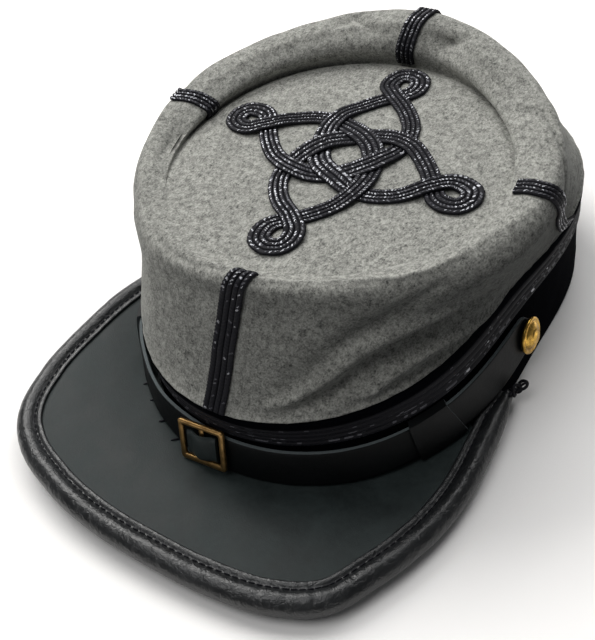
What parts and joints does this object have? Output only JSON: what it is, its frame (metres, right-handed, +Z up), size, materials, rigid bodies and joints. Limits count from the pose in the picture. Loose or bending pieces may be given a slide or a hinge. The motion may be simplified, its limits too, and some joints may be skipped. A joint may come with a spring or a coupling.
{
  "type": "kepi cap",
  "caption": "Soft grey wool kepi with a sunken round top, looped braid knot, dark band, stiff bound leather peak and a chin strap with a buckle and two buttons.",
  "frame": {"origin": "middle of the cap's whole box in plan, on the surface that the band's rim stands on", "axes": "+Z up, -Y towards the front (the peak), +X towards the wearer's left"},
  "size_m": [0.1826, 0.2678, 0.1105],
  "materials": {
    "wool": "heathered grey felted wool, matte with a short nap",
    "band_cloth": "near-black matte wool",
    "braid": "near-black soutache braid with faint silvery flecks",
    "peak_leather": "dark grey-green satin leather, slightly mottled",
    "binding_leather": "black leather, satin, wrinkled where it turns",
    "strap_leather": "black leather with a paler cut edge",
    "aged_brass": "aged, dull",
    "gilt": "polished, lightly worn"
  },
  "bodies": {
    "root": {"crown_wall": "wool", "crown_top": "wool", "band": "band_cloth", "band_braid": "braid", "strip_front": "braid", "strip_left": "braid", "strip_back": "braid", "strip_right": "braid", "top_knot": "braid", "peak": "peak_leather", "peak_binding": "binding_leather", "chin_strap": "strap_leather", "keeper_left": "strap_leather", "keeper_right": "strap_leather", "buckle": "aged_brass", "buckle_tab": "peak_leather", "button_left": "gilt", "button_right": "gilt"}
  },
  "joints": []
}
